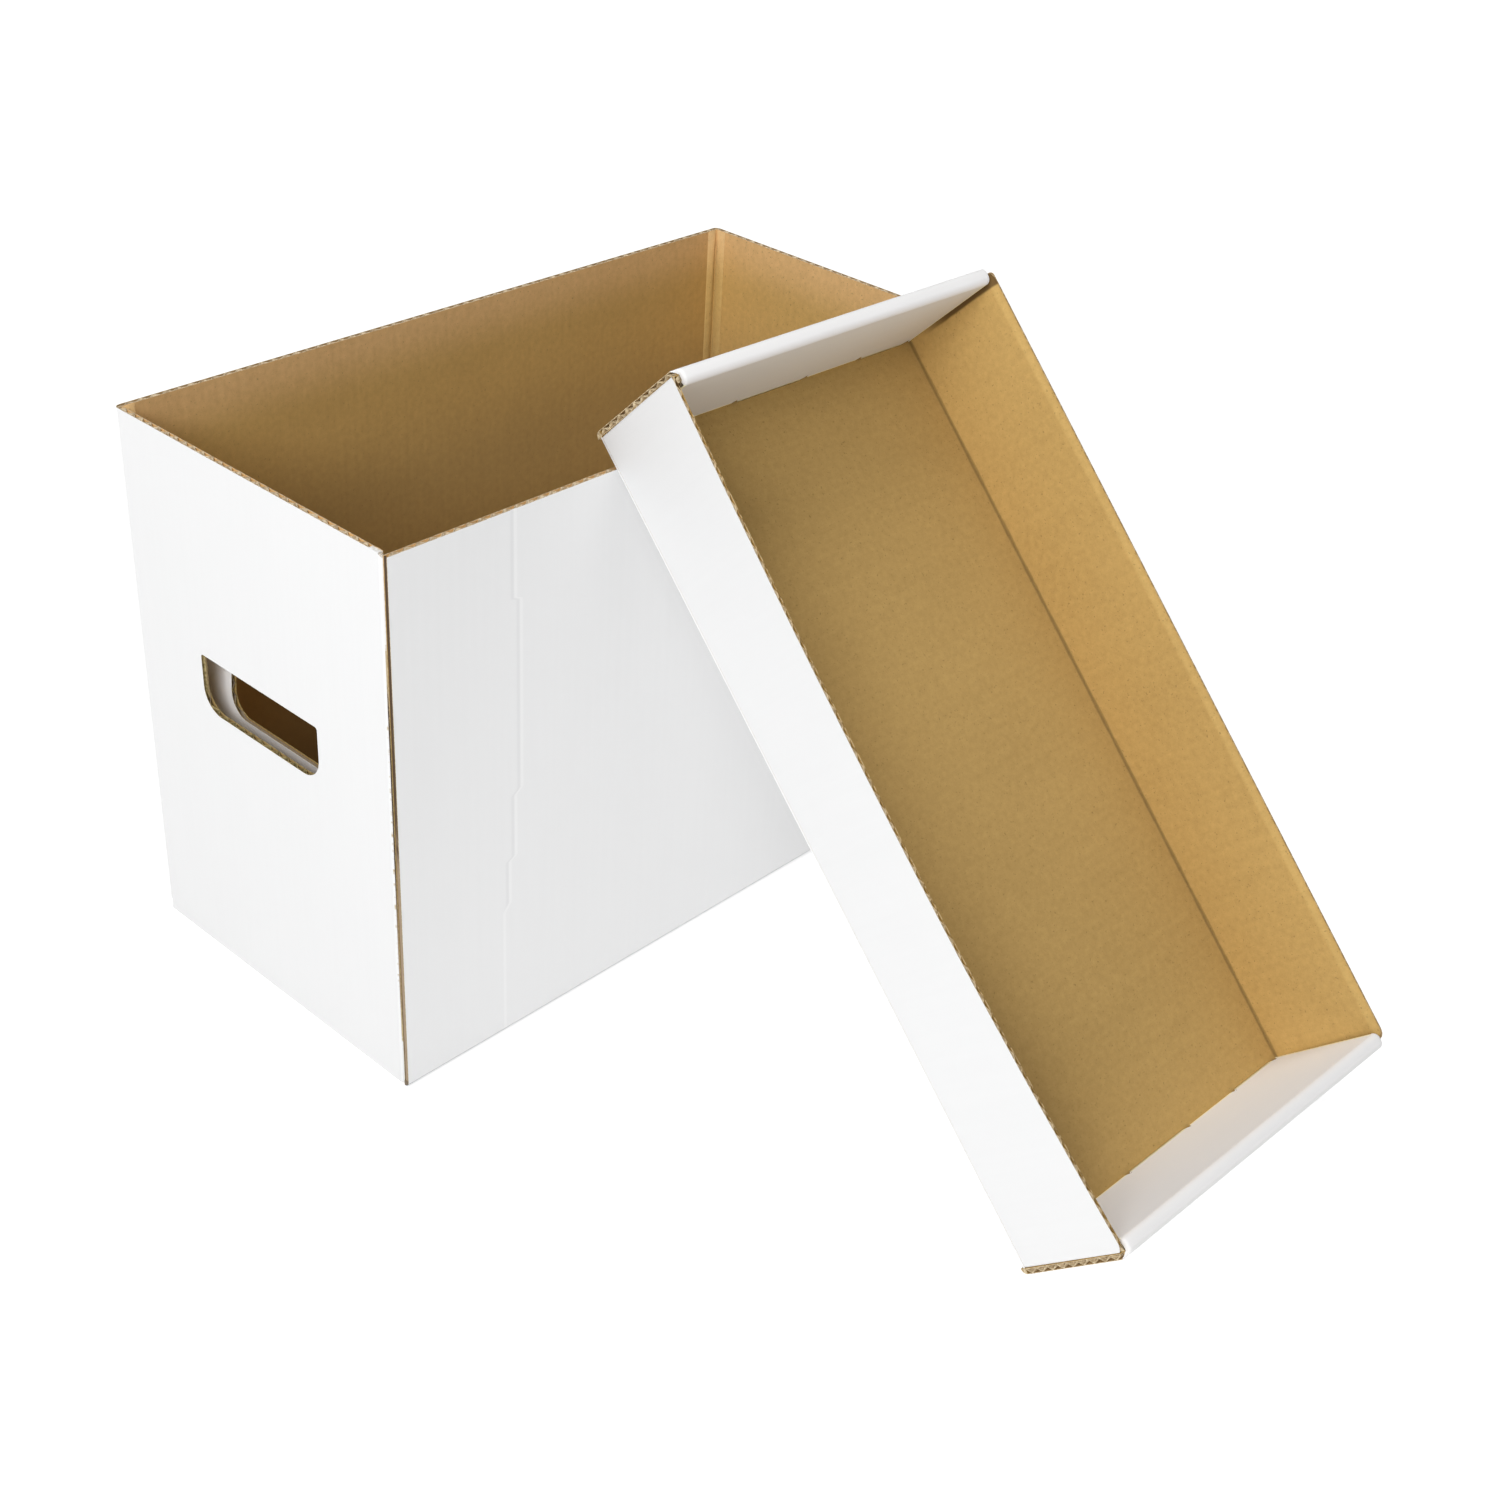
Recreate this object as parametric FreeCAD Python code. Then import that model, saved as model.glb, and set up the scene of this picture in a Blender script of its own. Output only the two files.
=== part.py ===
# Comic book storage box of single-wall corrugated board with its separate lid.
# The open box stands on its base and the lid leans on its front rim, open side forward.
# Millimetres, +Z up, origin at the centre of the box's base on the floor. X runs along the
# box's length, and the front long wall faces -Y.
import FreeCAD, Part

import math
import os

V = FreeCAD.Vector

# Board: white face liner, fluted medium and kraft lining
liner = 0.3
flute_height = 2.1
medium_sheet = 0.3
flute_pitch = 6.5
board = flute_height + 2 * liner
fold_inner_radius = 0.3
fold_radius = fold_inner_radius + board

# Box, outside
box_length = 386.0
box_width = 192.0
box_height = 276.0
panel_clearance = 0.5
side_clearance = 0.4

# Glue tab of the left end wall, inside the front wall at the near corner
glue_tab_length = 35.0
glue_tab_foot = 8.0
glue_tab_drop = 1.0
glue_tab_taper = 10.0

# Hand holes
hand_hole_width = 86.0
hand_hole_height = 29.0
hand_hole_low_radius = 12.0
hand_hole_top_radius = 1.5
hand_hole_sill = 142.3
inner_hand_hole_sill = 130.4

# Tuck tabs of the outer bottom
tuck_tab_width = 48.0
tuck_tab_height = 26.0
tuck_tab_corner = 8.0
tuck_tab_spacing = 190.0
tuck_slot_clearance = 1.0

# Inner end panels, which fold up from the inner bottom and lean inwards
inner_end_height = 178.0
inner_end_corner = 10.0
inner_end_lean = 4.2
hinge_clearance = 0.3

# Lid, outside
lid_length = 405.0
lid_width = 200.0
lid_depth = 65.3
lid_fit = 0.3
lid_side_drop = 0.4
lid_right_splay = 2.1
flap_thickness = 2.3
flap_length = 70.0
flap_taper = 6.0
lock_tab_width = 42.0
corner_lock_tab_width = 30.0
corner_lock_tab_inset = 5.2
lock_tab_depth = 2.3
lock_notch = 4.0
lock_notch_height = 3.0
slot_clearance = 0.3

# How the lid leans: length that stands out over the rim, turn about the upright in degrees,
# and place of its left edge along the front wall
lid_overhang = 18.2
lid_turn = -1.77
lid_left_at = -77.8
lean_clearance = 0.4

half_length = box_length / 2
half_width = box_width / 2
nodes = {}
tolerance = 1e-6


def keep(name, shape):
    """Files one piece under its name, as plain solids with no leftover seams."""
    nodes[name] = shape.removeSplitter()


def frame(origin, s_axis, t_axis, n_axis):
    """Placement that carries a panel's own axes: s across the flutes, t along them, n outwards."""
    matrix = FreeCAD.Matrix(s_axis.x, t_axis.x, n_axis.x, origin.x,
                            s_axis.y, t_axis.y, n_axis.y, origin.y,
                            s_axis.z, t_axis.z, n_axis.z, origin.z,
                            0, 0, 0, 1)
    return FreeCAD.Placement(matrix)


def placed(shape, placement):
    moved = shape.copy()
    moved.Placement = placement.multiply(moved.Placement)
    return moved


def slab(s0, s1, t0, t1, n0, n1):
    return Part.makeBox(s1 - s0, t1 - t0, n1 - n0, V(s0, t0, n0))


def prism(points, n0, n1):
    """Flat outline in s and t, extruded from level n0 to n1."""
    corners = [V(s, t, n0) for s, t in points]
    return Part.Face(Part.makePolygon(corners + corners[:1])).extrude(V(0, 0, n1 - n0))


def fold(edge, at, start, end, r_in, r_out):
    """Quarter ring of bent board beyond one edge of a panel, turning away from its outer side."""
    side = 1 if edge in ("s1", "t1") else -1
    arcs = []
    for radius in (r_in, r_out):
        a = V(0, 0, radius)
        b = V(side * radius * math.sin(math.pi / 4), 0, radius * math.cos(math.pi / 4))
        c = V(side * radius, 0, 0)
        arcs.append((Part.Arc(a, b, c).toShape(), a, c))
    wire = Part.Wire([arcs[0][0], Part.makeLine(arcs[0][2], arcs[1][2]),
                      arcs[1][0].copy(), Part.makeLine(arcs[1][1], arcs[0][1])])
    ring = Part.Face(wire).extrude(V(0, end - start, 0))
    if edge in ("t0", "t1"):
        ring.rotate(V(0, 0, 0), V(0, 0, 1), 90)
        ring.translate(V(end, at, -fold_inner_radius))
    else:
        ring.translate(V(at, start, -fold_inner_radius))
    return ring


def flutes(s0, s1, t0, t1, n0):
    """Fluted medium: one sheet bent to and fro between the liners, its flutes running along t."""
    count = max(1, round((s1 - s0) / flute_pitch))
    half_pitch = (s1 - s0) / count / 2
    slope = math.atan2(flute_height - medium_sheet, half_pitch)
    sheet = medium_sheet / math.cos(slope)
    rise = flute_height - sheet
    bends = [(s0 + i * half_pitch, rise if i % 2 else 0.0) for i in range(2 * count + 1)]
    corners = [V(s, t0, n0 + n) for s, n in bends]
    corners += [V(s, t0, n0 + n + sheet) for s, n in reversed(bends)]
    return Part.Face(Part.makePolygon(corners + corners[:1])).extrude(V(0, t1 - t0, 0))


def plies(name, placement, span, folds=(), cuts=(), outline=None):
    """One panel of board as its three sheets, with the folds that lead out of it."""
    s0, s1, t0, t1 = span
    levels = {"lining": (0.0, liner), "fluting": (liner, liner + flute_height),
              "face": (board - liner, board)}
    for ply, (n0, n1) in levels.items():
        if ply == "fluting":
            body = flutes(s0, s1, t0, t1, n0)
            if outline:
                body = body.common(prism(outline, n0 - liner, n1 + liner))
        elif outline:
            body = prism(outline, n0, n1)
        else:
            body = slab(s0, s1, t0, t1, n0, n1)
        bends = [fold(edge, at, start, end, fold_inner_radius + n0, fold_inner_radius + n1)
                 for edge, at, start, end in folds]
        if bends:
            body = body.fuse(bends)
        body = placed(body, placement)
        for cutter in cuts:
            body = body.cut(cutter)
        keep(name + "_" + ply, body)


def face_and_board(face_name, board_name, placement, span, folds=(), cuts=()):
    """A panel whose flutes show nowhere: its white face liner, and the rest as one sheet of board."""
    s0, s1, t0, t1 = span
    for name, n0, n1 in ((face_name, board - liner, board), (board_name, 0.0, board - liner)):
        body = slab(s0, s1, t0, t1, n0, n1)
        bends = [fold(edge, at, start, end, fold_inner_radius + n0, fold_inner_radius + n1)
                 for edge, at, start, end in folds]
        if bends:
            body = body.fuse(bends)
        body = placed(body, placement)
        for cutter in cuts:
            body = body.cut(cutter)
        keep(name, body)


def hand_hole(x_from, x_to, y_centre, sill):
    """Cutter for a hand hole: round lower corners, nearly sharp upper ones."""
    block = Part.makeBox(x_to - x_from, hand_hole_width, hand_hole_height,
                         V(x_from, y_centre - hand_hole_width / 2, sill))
    for level, radius in ((sill, hand_hole_low_radius), (sill + hand_hole_height, hand_hole_top_radius)):
        corners = []
        for edge in block.Edges:
            box = edge.BoundBox
            at_level = abs(box.ZMin - level) < tolerance and abs(box.ZMax - level) < tolerance
            if at_level and box.YLength < tolerance:
                corners.append(edge)
        block = block.makeFillet(radius, corners)
    return block


# Levels and lines that several panels share
outer_bottom_top = board
inner_bottom_top = 2 * board
wall_inner_x = half_length - board
wall_inner_y = half_width - board
tab_back_y = wall_inner_y - board
inner_end_half = tab_back_y - side_clearance
hinge_x = wall_inner_x - panel_clearance - board
hinge_z = inner_bottom_top
tuck_inner_y = inner_end_half + hinge_clearance
tuck_outer_y = tuck_inner_y + board


def tuck_slots():
    """Cutters for the slots in the rear bottom fold that the tuck tabs go up through."""
    wide = tuck_tab_width + 2 * tuck_slot_clearance
    depth = wall_inner_y + fold_inner_radius - tuck_inner_y + side_clearance
    return [Part.makeBox(wide, depth, inner_bottom_top + fold_radius,
                         V(x - wide / 2, tuck_inner_y - side_clearance, outer_bottom_top / 2))
            for x in (-tuck_tab_spacing / 2, tuck_tab_spacing / 2)]


def build_front_wall():
    """Front long wall: its raw left edge closes the near corner, and its bottom folds under."""
    placement = frame(V(0, -wall_inner_y, 0), V(1, 0, 0), V(0, 0, 1), V(0, -1, 0))
    s1 = half_length - fold_radius
    plies("front_wall", placement, (-half_length, s1, fold_radius, box_height),
          folds=[("s1", s1, fold_radius, box_height),
                 ("t0", fold_radius, -half_length, s1 - panel_clearance)])


def build_back_wall():
    """Back long wall, folded into both end walls and, one board higher, into the inner bottom."""
    placement = frame(V(0, wall_inner_y, 0), V(-1, 0, 0), V(0, 0, 1), V(0, 1, 0))
    s1 = half_length - fold_radius
    foot = outer_bottom_top + fold_radius
    plies("back_wall", placement, (-s1, s1, foot, box_height),
          folds=[("s0", -s1, foot, box_height), ("s1", s1, foot, box_height),
                 ("t0", foot, -hinge_x, hinge_x)],
          cuts=tuck_slots())


def build_left_end_wall():
    """Left end wall, between the rear corner fold and the fold of the glue tab."""
    placement = frame(V(-wall_inner_x, 0, 0), V(0, -1, 0), V(0, 0, 1), V(-1, 0, 0))
    front = -wall_inner_y + fold_radius
    rear = half_width - fold_radius
    centre = (rear + fold_radius - wall_inner_y) / 2
    hole = hand_hole(-half_length - board, -wall_inner_x + board, centre, hand_hole_sill)
    plies("left_end_wall", placement, (-rear, -front, 0.0, box_height), cuts=[hole])


def build_right_end_wall():
    """Right end wall, between the front and rear corner folds."""
    placement = frame(V(wall_inner_x, 0, 0), V(0, 1, 0), V(0, 0, 1), V(1, 0, 0))
    reach = half_width - fold_radius
    hole = hand_hole(wall_inner_x - board, half_length + board, 0.0, hand_hole_sill)
    plies("right_end_wall", placement, (-reach, reach, 0.0, box_height), cuts=[hole])


def build_glue_tab():
    """Glue tab: the left end wall folds round and lies glued behind the front wall."""
    placement = frame(V(0, -tab_back_y, 0), V(1, 0, 0), V(0, 0, 1), V(0, -1, 0))
    s0 = -half_length + fold_radius
    s1 = s0 + glue_tab_length
    top = box_height - glue_tab_drop
    clear = inner_bottom_top + panel_clearance
    tab = prism([(s0, clear), (s0 + glue_tab_foot, glue_tab_foot),
                 (s1, glue_tab_foot + glue_tab_taper), (s1, top - glue_tab_taper), (s0, top)], 0, board)
    bend = fold("s0", s0, fold_radius, box_height, fold_inner_radius, fold_radius)
    keep("glue_tab", placed(tab.fuse(bend), placement))


def build_outer_bottom():
    """Outer bottom: folds back from the front wall, with two tuck tabs turned up at its rear edge."""
    placement = frame(V(0, 0, board), V(1, 0, 0), V(0, -1, 0), V(0, 0, -1))
    reach = wall_inner_x - side_clearance
    front = half_width - fold_radius
    rear = -(wall_inner_y - panel_clearance)
    face_and_board("outer_bottom_face", "outer_bottom_board", placement, (-reach, reach, rear, front))
    bend_y = tuck_inner_y - fold_inner_radius
    tabs = []
    for x in (-tuck_tab_spacing / 2, tuck_tab_spacing / 2):
        x0, x1 = x - tuck_tab_width / 2, x + tuck_tab_width / 2
        room = Part.makeBox(x1 - x0 + 2 * side_clearance, half_width - bend_y, fold_radius,
                            V(x0 - side_clearance, bend_y, 0))
        for name in ("outer_bottom_face", "outer_bottom_board"):
            nodes[name] = nodes[name].cut(room)
        upright = frame(V(0, tuck_inner_y, 0), V(-1, 0, 0), V(0, 0, 1), V(0, 1, 0))
        top = outer_bottom_top + tuck_tab_height
        c = tuck_tab_corner
        tab = prism([(-x1, fold_radius), (-x0, fold_radius), (-x0, top - c), (-x0 - c, top),
                     (-x1 + c, top), (-x1, top - c)], 0, board)
        bend = fold("t0", fold_radius, -x1, -x0, fold_inner_radius, fold_radius)
        tabs.append(placed(tab.fuse(bend), upright))
    keep("bottom_tuck_tabs", Part.makeCompound(tabs))


def build_inner_bottom():
    """Inner bottom: folds forward from the back wall and carries both inner end panels."""
    placement = frame(V(0, 0, inner_bottom_top), V(-1, 0, 0), V(0, 1, 0), V(0, 0, -1))
    front = -(wall_inner_y - panel_clearance)
    rear = half_width - fold_radius
    face_and_board("inner_bottom_face", "inner_bottom_board", placement,
                   (-hinge_x, hinge_x, front, rear), cuts=tuck_slots())
    for side in (-1, 1):
        for name, r0, r1 in (("inner_bottom_face", board - liner, board),
                             ("inner_bottom_board", 0.0, board - liner)):
            crease = end_crease(side, r0, r1)
            nodes[name] = nodes[name].fuse(crease).removeSplitter()


def end_crease(side, r0, r1):
    """The inner bottom's bend up into one inner end panel, about the crease line."""
    outer = Part.makeCylinder(r1, 2 * inner_end_half, V(0, -inner_end_half, 0), V(0, 1, 0))
    if r0 > 0:
        outer = outer.cut(Part.makeCylinder(r0, 2 * inner_end_half, V(0, -inner_end_half, 0), V(0, 1, 0)))
    size = 2 * r1
    corner = Part.makeBox(size, 2 * half_width, size, V(-size if side < 0 else 0, -half_width, -size))
    bend = outer.common(corner)
    bend.translate(V(side * hinge_x, 0, hinge_z))
    return bend


def build_inner_end(name, turned):
    """Inner end panel: stands on its crease, white side out, and leans in with its own hand hole."""
    placement = frame(V(-hinge_x, 0, hinge_z), V(0, 0, 1), V(0, 1, 0), V(-1, 0, 0))
    w, c = inner_end_half, inner_end_corner
    outline = [(hinge_clearance, -w), (inner_end_height - c, -w), (inner_end_height, -w + c),
               (inner_end_height, w - c), (inner_end_height - c, w), (hinge_clearance, w)]
    hole = hand_hole(-hinge_x - 2 * board, -hinge_x + board, 0.0, hinge_z + inner_hand_hole_sill)
    plies(name, placement, (hinge_clearance, inner_end_height, -w, w), cuts=[hole], outline=outline)
    for ply in ("lining", "fluting", "face"):
        leaned = nodes[name + "_" + ply]
        leaned.rotate(V(-hinge_x, 0, hinge_z), V(0, 1, 0), inner_end_lean)
        if turned:
            leaned.rotate(V(0, 0, 0), V(0, 0, 1), 180)


# The lid is built flat, X across it, Y up its length and Z from its top panel to its rim
side_rim = lid_depth - lid_side_drop
flap_rim = lid_depth - board - side_clearance
stack = 2 * board + flap_thickness


def splayed(shape):
    """The right side and its flaps, turned a little outwards about the side's crease."""
    turned = shape.copy()
    turned.rotate(V(lid_width - fold_radius, 0, fold_radius), V(0, 1, 0), lid_right_splay)
    return turned


def lock_tabs():
    """Spans across the lid of the three locking tabs at each end."""
    middle = lid_width / 2
    near = board + corner_lock_tab_inset
    return [(near, near + corner_lock_tab_width),
            (middle - lock_tab_width / 2, middle + lock_tab_width / 2),
            (lid_width - near - corner_lock_tab_width, lid_width - near)]


def lock_slots():
    """Cutters for the slots in the lid's top panel that the locking tabs press into."""
    cutters = []
    for x0, x1 in lock_tabs():
        for y0 in (stack - board, lid_length - stack):
            cutters.append(Part.makeBox(x1 - x0 + 2 * slot_clearance, board + 2 * slot_clearance, 3 * board,
                                        V(x0 - slot_clearance, y0 - slot_clearance, -board)))
    return cutters


def build_lid_top():
    """Top panel of the lid, folded down into the long sides and the ends."""
    placement = frame(V(0, 0, board), V(0, 1, 0), V(1, 0, 0), V(0, 0, -1))
    s0, s1 = fold_radius, lid_length - fold_radius
    t0, t1 = fold_radius, lid_width - fold_radius
    face_and_board("lid_top_face", "lid_top_board", placement, (s0, s1, t0, t1),
                   folds=[("s0", s0, 0.0, lid_width), ("s1", s1, 0.0, lid_width),
                          ("t0", t0, s0, s1), ("t1", t1, s0, s1)],
                   cuts=lock_slots())


def build_lid_side(name, left):
    """Long side of the lid, as high as the ends, with a lower fold at each end into its flaps."""
    end = board + fold_radius
    span = lid_length - 2 * end
    low = fold_radius
    if left:
        placement = frame(V(board, lid_length - end, 0), V(0, -1, 0), V(0, 0, 1), V(-1, 0, 0))
    else:
        placement = frame(V(lid_width - board, end, 0), V(0, 1, 0), V(0, 0, 1), V(1, 0, 0))
        low += fold_radius * math.sin(math.radians(lid_right_splay))
    plies(name, placement, (0.0, span, low, side_rim))
    bends = [fold("s0", 0.0, low, flap_rim, fold_radius - liner, fold_radius),
             fold("s1", span, low, flap_rim, fold_radius - liner, fold_radius)]
    face = nodes[name + "_face"]
    nodes[name + "_face"] = face.fuse([placed(b, placement) for b in bends]).removeSplitter()
    if not left:
        for ply in ("_lining", "_fluting", "_face"):
            nodes[name + ply] = splayed(nodes[name + ply])


def build_corner_flap(name, left, far):
    """Flap of a long side, folded in behind the outer end panel and pressed thin by the roll."""
    low, high = fold_radius + lid_fit, flap_rim
    t = flap_taper
    flap = prism([(0, low), (flap_length, low + t), (flap_length, high - t), (0, high)], 0, flap_thickness)
    inner = fold_radius - flap_thickness
    bend = fold("s0", 0.0, low, high, inner, fold_radius - liner)
    bend.translate(V(0, 0, fold_inner_radius - inner))
    flap = flap.fuse(bend)
    flap = placed(flap, frame(V(fold_radius, board + flap_thickness, 0), V(1, 0, 0), V(0, 0, 1), V(0, -1, 0)))
    if not left:
        flap = splayed(flap.mirror(V(lid_width / 2, 0, 0), V(1, 0, 0)))
    if far:
        flap = flap.mirror(V(0, lid_length / 2, 0), V(0, 1, 0))
    keep(name, flap)


def build_lid_end(name, far):
    """One end of the lid: outer panel, rolled strip over the rim, inner panel locked by its tabs."""
    before = set(nodes)
    outer = frame(V(lid_width, board, 0), V(0, 0, 1), V(-1, 0, 0), V(0, -1, 0))
    rim = lid_depth - fold_radius
    plies(name + "_outer", outer, (fold_radius, rim, 0.0, lid_width))
    inner_y = stack - board
    a, b = board + lid_fit, lid_width - board - lid_fit
    strip = slab(a, b, fold_radius, stack - fold_radius, lid_depth - board, lid_depth)
    for y, quarter, x0, x1 in ((fold_radius, -1, 0.0, lid_width), (stack - fold_radius, 1, a, b)):
        bend = Part.makeCylinder(fold_radius, x1 - x0, V(x0, y, rim), V(1, 0, 0))
        bend = bend.cut(Part.makeCylinder(fold_inner_radius, x1 - x0, V(x0, y, rim), V(1, 0, 0)))
        size = 2 * fold_radius
        bend = bend.common(Part.makeBox(lid_width, size, size, V(0, y - size if quarter < 0 else y, rim)))
        strip = strip.fuse(bend)
    keep(name + "_roll", strip)
    inner = frame(V(0, inner_y, 0), V(0, 0, 1), V(1, 0, 0), V(0, 1, 0))
    edge = [(rim, a)]
    for t0, t1 in lock_tabs():
        edge += [(board, t0 - lock_notch), (board + lock_notch_height, t0 - lock_notch / 2),
                 (board, t0), (board - lock_tab_depth, t0 + lock_tab_depth / 2),
                 (board - lock_tab_depth, t1 - lock_tab_depth / 2), (board, t1),
                 (board + lock_notch_height, t1 + lock_notch / 2), (board, t1 + lock_notch)]
    edge.append((rim, b))
    edge.insert(1, (board, a))
    edge.insert(-1, (board, b))
    plies(name + "_inner", inner, (board - lock_tab_depth, rim, a, b), outline=edge)
    for node in set(nodes) - before:
        if far:
            nodes[node].rotate(V(lid_width / 2, lid_length / 2, 0), V(0, 0, 1), 180)


def lean_lid(names):
    """Stands the lid on the floor by one end and leans its top panel on the box's front rim."""
    reach = lid_length - lid_overhang - fold_radius
    slope = math.atan2(fold_radius, reach)
    slope += math.asin((box_height - fold_radius) / math.hypot(reach, fold_radius))
    turn = math.radians(lid_turn)
    lift = fold_radius * (1 - math.sin(slope) - math.cos(slope))
    run = (box_height - lift) / math.tan(slope) * math.cos(turn)
    start = -half_width - lean_clearance / math.sin(slope) - run - fold_radius * math.sin(turn)
    tilt = FreeCAD.Rotation(V(1, 0, 0), math.degrees(slope))
    place = FreeCAD.Placement(V(lid_left_at, start, lift),
                              FreeCAD.Rotation(V(0, 0, 1), lid_turn).multiply(tilt))
    for node in names:
        nodes[node] = placed(nodes[node], place)


build_front_wall()
build_back_wall()
build_left_end_wall()
build_right_end_wall()
build_glue_tab()
build_outer_bottom()
build_inner_bottom()
build_inner_end("inner_end_left", False)
build_inner_end("inner_end_right", True)

box_nodes = set(nodes)
build_lid_top()
build_lid_side("lid_left_side", True)
build_lid_side("lid_right_side", False)
for far, where in ((False, "lower"), (True, "upper")):
    build_lid_end("lid_" + where + "_end", far)
    for left, side in ((True, "left"), (False, "right")):
        build_corner_flap("lid_flap_" + where + "_" + side, left, far)
lean_lid([node for node in nodes if node not in box_nodes])

os.makedirs("parts", exist_ok=True)
for node, shape in nodes.items():
    shape.exportStep(os.path.join("parts", node + ".step"))
    print(node, "solids", len(shape.Solids), "valid", shape.isValid(), "volume", round(shape.Volume, 1))
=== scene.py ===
import math

import bmesh
import bpy
from mathutils import Euler, Matrix, Vector, noise


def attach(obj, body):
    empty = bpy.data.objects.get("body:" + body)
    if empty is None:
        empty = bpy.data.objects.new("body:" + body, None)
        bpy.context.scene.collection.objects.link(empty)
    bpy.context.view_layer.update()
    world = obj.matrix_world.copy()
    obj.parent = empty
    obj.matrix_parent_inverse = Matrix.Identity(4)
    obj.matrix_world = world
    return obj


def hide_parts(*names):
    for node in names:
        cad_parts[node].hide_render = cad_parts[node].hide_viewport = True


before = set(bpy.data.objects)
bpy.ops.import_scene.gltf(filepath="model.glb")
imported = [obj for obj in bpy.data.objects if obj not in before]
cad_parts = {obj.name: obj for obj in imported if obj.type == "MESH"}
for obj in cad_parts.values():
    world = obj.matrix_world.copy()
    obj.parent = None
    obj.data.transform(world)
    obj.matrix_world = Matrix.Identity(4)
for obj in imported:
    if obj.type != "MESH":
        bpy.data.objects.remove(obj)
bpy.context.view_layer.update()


# Camera, at the photograph's place: above the near corner, looking down over the short end.
eye = Vector((-0.65867, -0.70148, 0.67393))
sight = Euler([math.radians(angle) for angle in (57.4851, -3.0986, -46.7436)])
camera = bpy.data.objects.new("camera", bpy.data.cameras.new("camera"))
camera.matrix_world = Matrix.LocRotScale(eye, sight, None)
camera.data.sensor_width = 36
camera.data.lens = 51.48
camera.data.clip_start = 0.01
bpy.context.scene.collection.objects.link(camera)
bpy.context.scene.camera = camera


# White outer face of the four walls. A bleached paper liner, glued over the flutes by the board
# machine, so faint upright lines show where the flute tips press through. It runs round the
# corners in one piece, and its cut edges show the paper's brown core.
X, Y, Z = Vector((1, 0, 0)), Vector((0, 1, 0)), Vector((0, 0, 1))
half_length, half_width, wall_height = 0.193, 0.096, 0.276
flute_pitch = 0.0065
crease_at = 0.0593 - half_length
worn_from = 0.0119 - half_width


class Fibre:
    """A value, colour, vector or shape on its way through a node tree."""

    def __init__(self, tree, socket=None):
        self.tree, self.socket = tree, socket

    def node(self, kind, settings=None, values=None, out=0):
        """Adds a node: its settings first, then the values or links of its sockets."""
        made = self.tree.nodes.new(kind)
        for key, value in (settings or {}).items():
            setattr(made, key, value)
        for key, value in (values or {}).items():
            if isinstance(value, Fibre):
                self.tree.links.new(value.socket, made.inputs[key])
            else:
                made.inputs[key].default_value = value
        return Fibre(self.tree, made.outputs[out])

    def maths(self, operation, *others):
        return self.node("ShaderNodeMath", {"operation": operation}, dict(enumerate((self,) + others)))

    def __add__(self, other):
        return self.maths("ADD", other)

    def __sub__(self, other):
        return self.maths("SUBTRACT", other)

    def __rsub__(self, other):
        return self.node("ShaderNodeMath", {"operation": "SUBTRACT"}, {0: other, 1: self})

    def __mul__(self, other):
        return self.maths("MULTIPLY", other)

    __radd__ = __add__
    __rmul__ = __mul__

    def along(self, direction):
        """How far this vector reaches in one direction."""
        return self.node("ShaderNodeVectorMath", {"operation": "DOT_PRODUCT"},
                         {0: self, 1: tuple(direction)}, out="Value")

    def between(self, low, high):
        """0 below low and 1 above high, eased in between."""
        return self.node("ShaderNodeMapRange", {"interpolation_type": "SMOOTHSTEP"},
                         {"Value": self, "From Min": low, "From Max": high})

    def blend(self, colour_a, colour_b):
        """colour_a where this is 0 and colour_b where it is 1."""
        return self.node("ShaderNodeMix", {"data_type": "RGBA"},
                         {0: self, 6: colour_a, 7: colour_b}, out=2)

    def grain(self, scale, detail=2.0, rough=0.5):
        """Noise at this vector, between 0 and 1."""
        return self.node("ShaderNodeTexNoise", None,
                         {"Vector": self, "Scale": scale, "Detail": detail, "Roughness": rough})


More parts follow.
